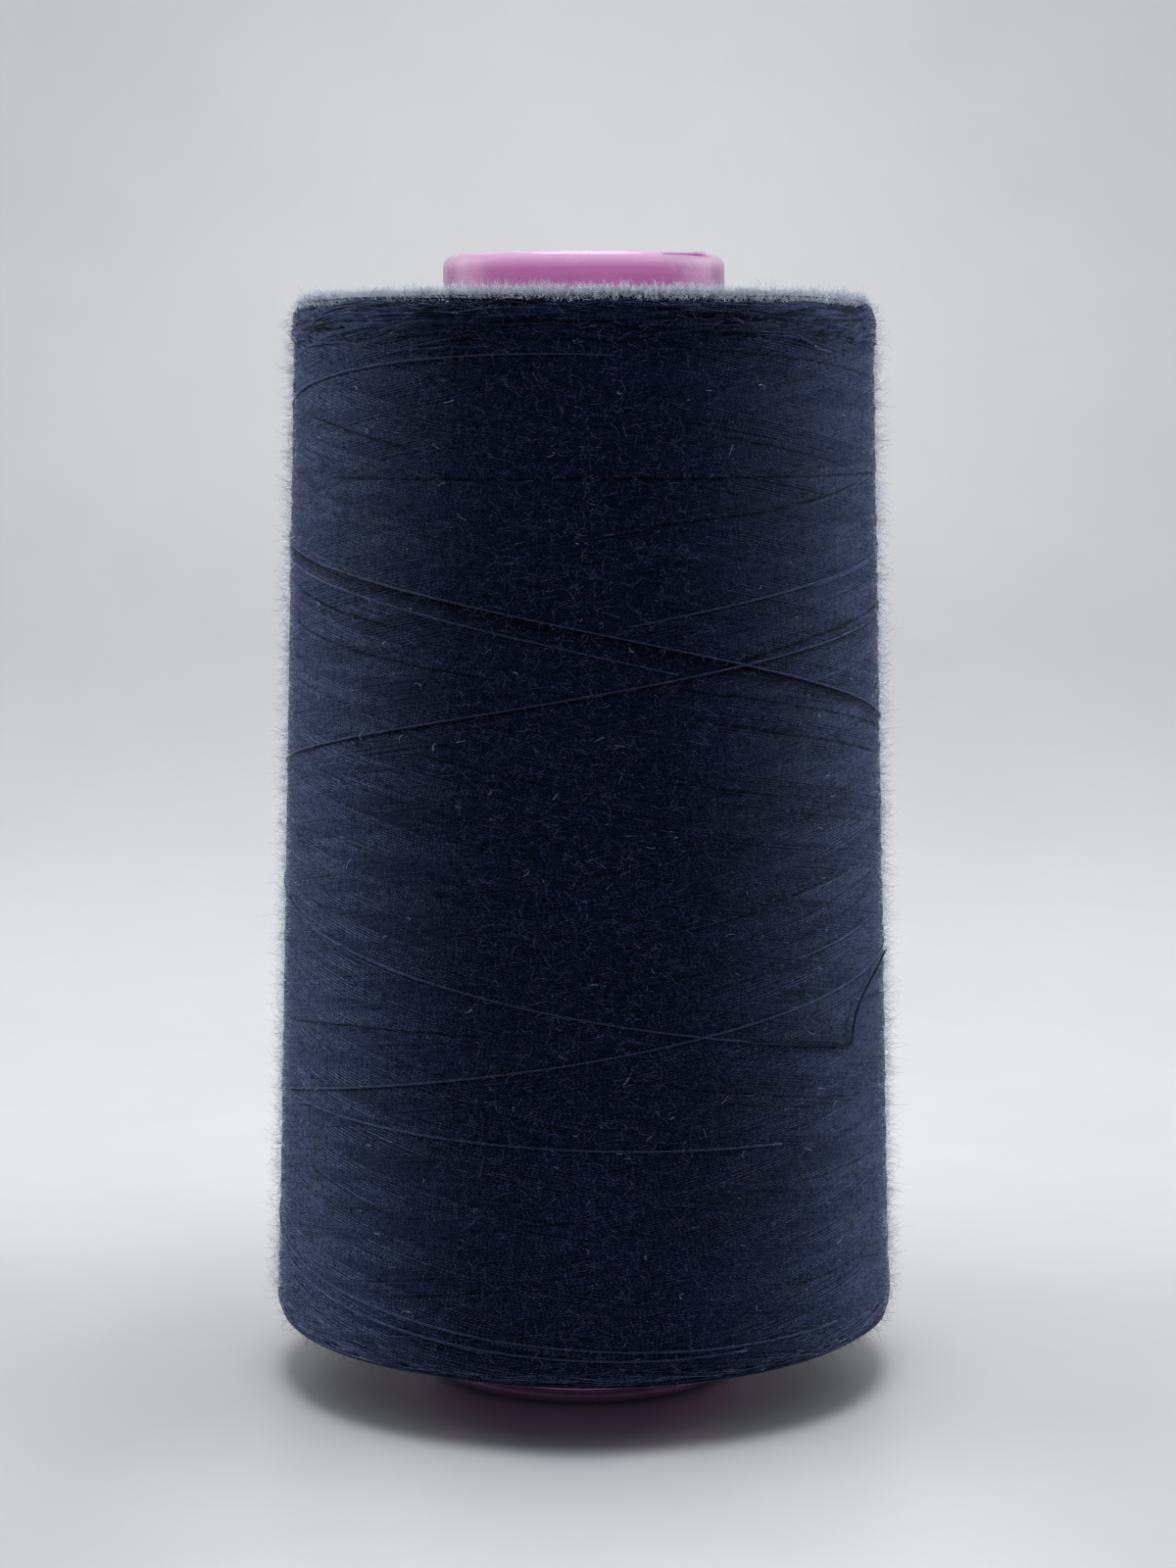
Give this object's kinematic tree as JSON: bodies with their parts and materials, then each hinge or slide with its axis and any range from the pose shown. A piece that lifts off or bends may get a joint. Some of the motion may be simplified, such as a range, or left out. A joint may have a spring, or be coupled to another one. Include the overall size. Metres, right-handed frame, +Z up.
{
  "type": "king spool of sewing thread",
  "caption": "Tall tapered spool of cross-wound sewing thread on a moulded plastic core, with a snap-in base ring that opens to lock the thread end and a sprung thread catch in the rim.",
  "frame": {"origin": "centre of the face the spool stands on", "axes": "+Z up along the spool axis, from the foot to the raised rim; the catch and the loose thread end lie between +X and -Y"},
  "size_m": [0.0696, 0.0696, 0.1252],
  "materials": {
    "core_plastic": "glossy, slightly translucent lilac moulding",
    "catch_plastic": "glossy, slightly translucent lilac moulding",
    "ring_plastic": "glossy lilac moulding",
    "thread_wound": "navy spun polyester, cross-wound, slightly fuzzy",
    "thread_loose": "navy spun polyester"
  },
  "bodies": {
    "spool": {"core_tube": "core_plastic", "thread_package": "thread_wound", "thread_tail": "thread_loose"},
    "base": {"base_ring": "ring_plastic"},
    "catch": {"thread_catch": "catch_plastic"}
  },
  "joints": [
    {"name": "base_ring_slide", "type": "slide", "parent": "spool", "child": "base", "axis": [0, 0, -1], "range_m": [0, 0.0025]},
    {"name": "catch_flex", "type": "hinge", "parent": "spool", "child": "catch", "pos_m": [0.00822, -0.01219, 0.1247], "axis": [0.5592, -0.829, 0], "range_deg": [0, 6]}
  ]
}
